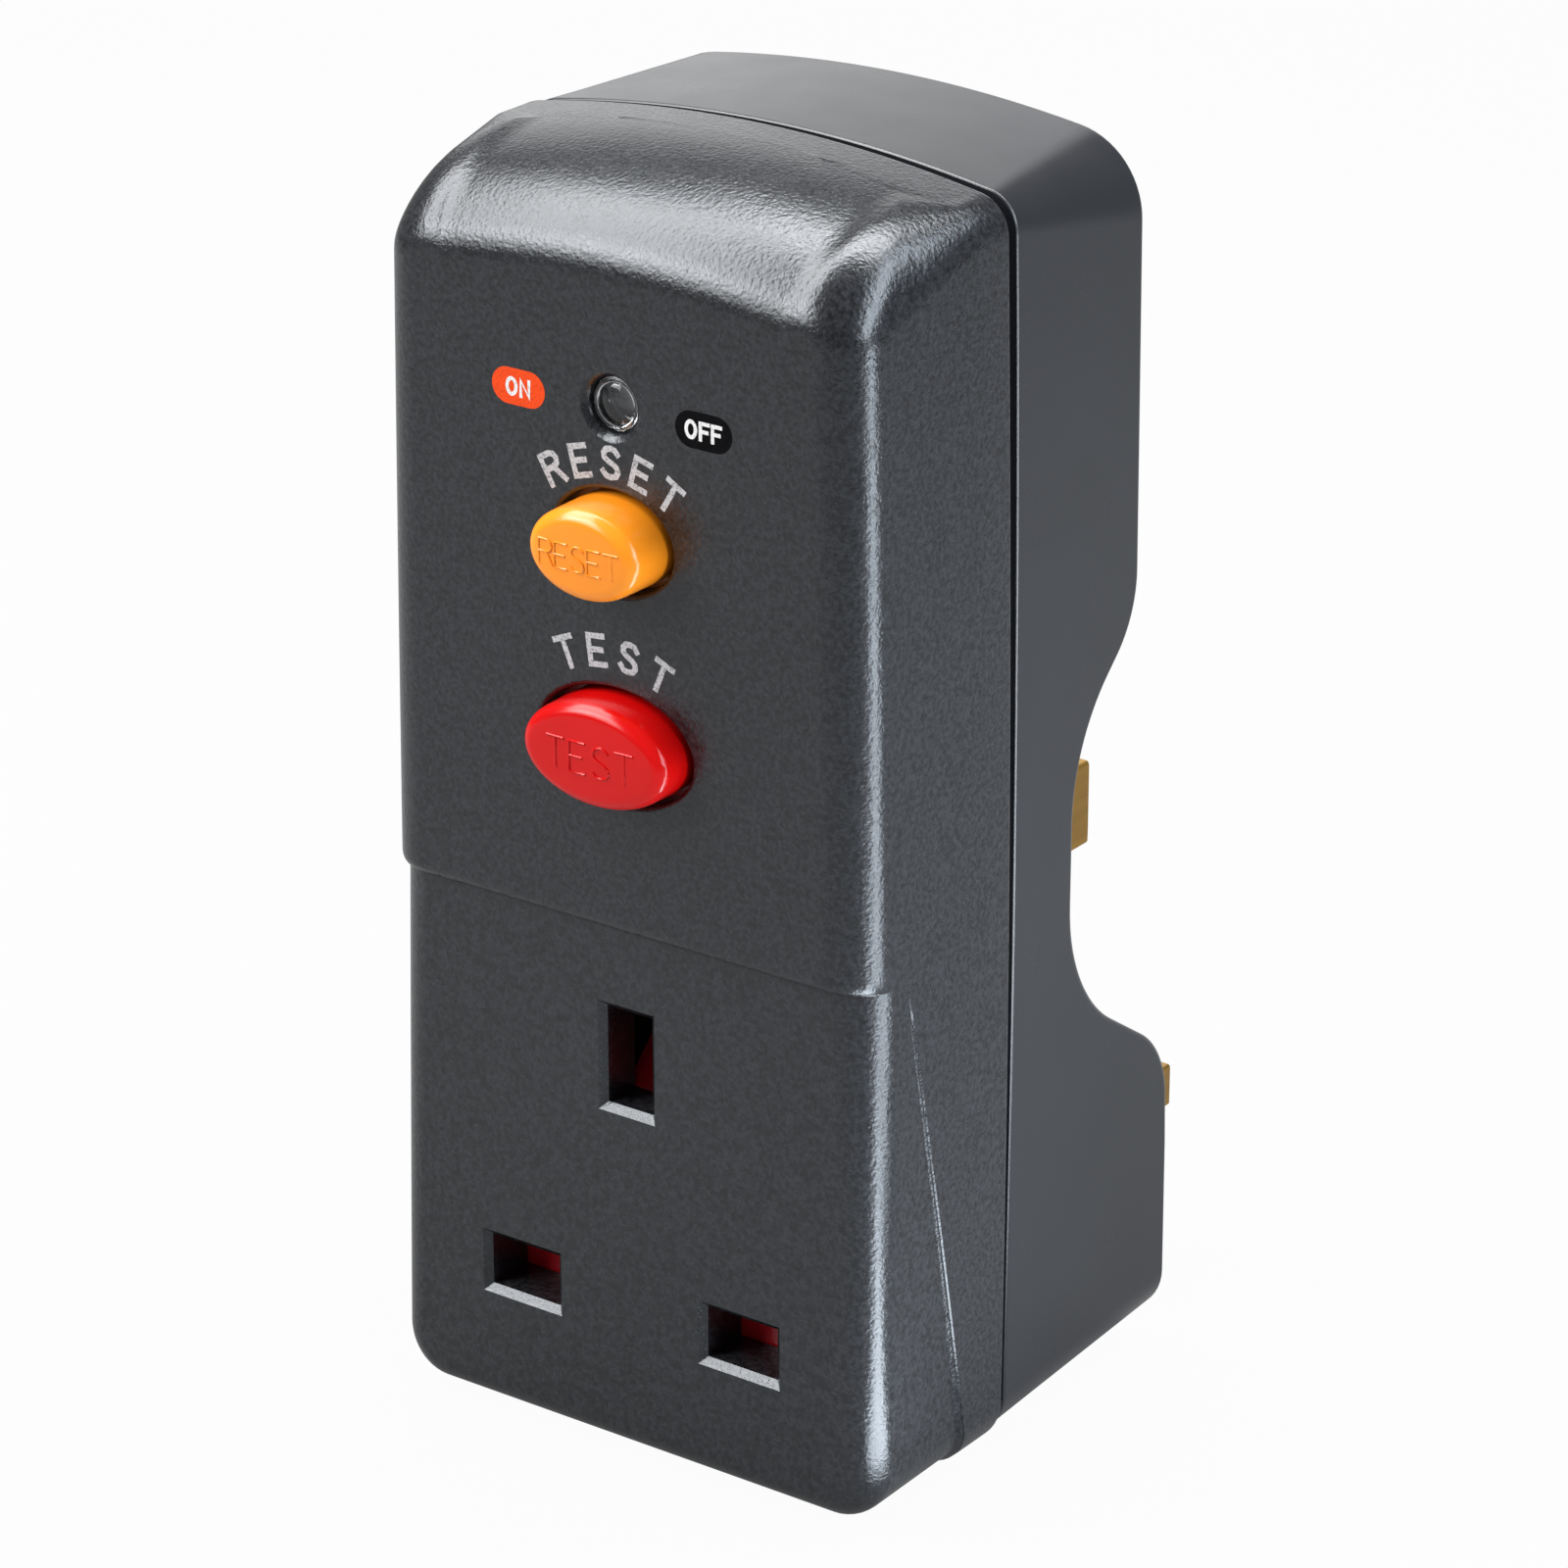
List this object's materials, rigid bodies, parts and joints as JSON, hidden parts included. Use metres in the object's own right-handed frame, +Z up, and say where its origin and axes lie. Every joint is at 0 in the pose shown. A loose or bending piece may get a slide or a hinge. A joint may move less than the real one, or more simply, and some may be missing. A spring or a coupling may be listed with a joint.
{
  "type": "residual-current safety adaptor plug",
  "caption": "Plug-through adaptor: tall rounded case with plug pins behind, a shuttered socket in front, test and reset buttons, and a trip switch inside.",
  "frame": {"origin": "on the plug face, in the middle between the earth pin and the line of the two lower pins", "axes": "+Z up with the earth pin at the top, +Y towards the wall outlet, +X to the right seen from the front"},
  "size_m": [0.0496, 0.0715, 0.11],
  "materials": {
    "front_plastic": "fine pebbled",
    "rear_plastic": "satin",
    "steel": "plated",
    "lens": "clear, polished",
    "orange_plastic": "glossy",
    "red_plastic": "glossy",
    "brass": "pressed strip",
    "shutter_plastic": "glossy",
    "cream_plastic": "moulded",
    "pin_brass": "satin",
    "sleeve_plastic": "satin",
    "silver_alloy": "satin",
    "dark_plastic": "moulded",
    "copper_wire": "enamelled",
    "core_metal": "wound strip",
    "brown_insulation": "satin",
    "blue_insulation": "satin",
    "board": "lacquered",
    "capacitor_can": "sleeved",
    "varistor_coat": "dipped",
    "resistor_body": "lacquered",
    "flag_black": "moulded",
    "flag_orange": "moulded"
  },
  "bodies": {
    "housing": {"front_cover": "front_plastic", "rear_cover": "rear_plastic", "case_screws": "steel", "indicator_lens": "lens", "reset_spring": "steel", "test_blade": "brass", "blade_rivet": "steel", "test_contact": "brass", "shutter_spring": "steel", "contact_carrier": "cream_plastic", "line_strip": "brass", "neutral_strip": "brass", "earth_contact": "brass", "earth_pin": "pin_brass", "line_pin": "pin_brass", "neutral_pin": "pin_brass", "pin_sleeves": "sleeve_plastic", "pin_retainer": "cream_plastic", "retainer_screw": "steel", "mechanism_frame": "cream_plastic", "frame_screws": "steel", "guide_pins": "steel", "line_feed_contact": "brass", "neutral_feed_contact": "brass", "fixed_contact_tips": "silver_alloy", "carriage_springs": "steel", "solenoid_yoke": "steel", "solenoid_bobbin": "cream_plastic", "solenoid_coil": "copper_wire", "toroid_core": "core_metal", "toroid_winding": "copper_wire", "line_lead": "brown_insulation", "neutral_lead": "blue_insulation", "circuit_board": "board", "amplifier_chip": "dark_plastic", "reservoir_capacitor": "capacitor_can", "surge_varistor": "varistor_coat", "thyristor": "dark_plastic", "board_resistors": "resistor_body", "flag_pivot": "steel"},
    "test_push": {"test_button": "red_plastic"},
    "reset_push": {"reset_button": "orange_plastic"},
    "shutter_slider": {"shutter": "shutter_plastic"},
    "carriage": {"contact_carriage": "dark_plastic", "contact_bridges": "brass", "moving_contact_tips": "silver_alloy"},
    "plunger": {"trip_plunger": "steel"},
    "latch": {"latch_plate": "steel"},
    "flag": {"indicator_flag": "flag_black", "flag_band": "flag_orange"}
  },
  "joints": [
    {"name": "test_press", "type": "slide", "parent": "housing", "child": "test_push", "axis": [0, 1, 0], "range_m": [0, 0.0018], "stiffness_N_per_m": 900, "springref_m": -0.0006, "deforming": ["test_blade"]},
    {"name": "reset_press", "type": "slide", "parent": "housing", "child": "reset_push", "axis": [0, 1, 0], "range_m": [0, 0.003], "stiffness_N_per_m": 700, "springref_m": -0.001, "deforming": ["reset_spring"]},
    {"name": "shutter_slide", "type": "slide", "parent": "housing", "child": "shutter_slider", "axis": [0, 0, -1], "range_m": [0, 0.0062], "stiffness_N_per_m": 150, "springref_m": -0.003, "deforming": ["shutter_spring"]},
    {"name": "carriage_slide", "type": "slide", "parent": "housing", "child": "carriage", "axis": [0, -1, 0], "range_m": [0, 0.0022], "stiffness_N_per_m": 500, "springref_m": -0.001, "deforming": ["carriage_springs"]},
    {"name": "trip_slide", "type": "slide", "parent": "housing", "child": "plunger", "axis": [-1, 0, 0], "range_m": [0, 0.0014], "stiffness_N_per_m": 200, "springref_m": -0.0005},
    {"name": "latch_slide", "type": "slide", "parent": "carriage", "child": "latch", "axis": [-1, 0, 0], "range_m": [0, 0.0014]},
    {"name": "flag_turn", "type": "hinge", "parent": "housing", "child": "flag", "pos_m": [0, -0.0336, 0.06618], "axis": [-1, 0, 0], "range_deg": [0, 34]}
  ],
  "couplings": [
    {"joint": "latch_slide", "follows": "trip_slide", "ratio": 1},
    {"joint": "flag_turn", "follows": "carriage_slide", "rad_per_m": 269.73}
  ]
}
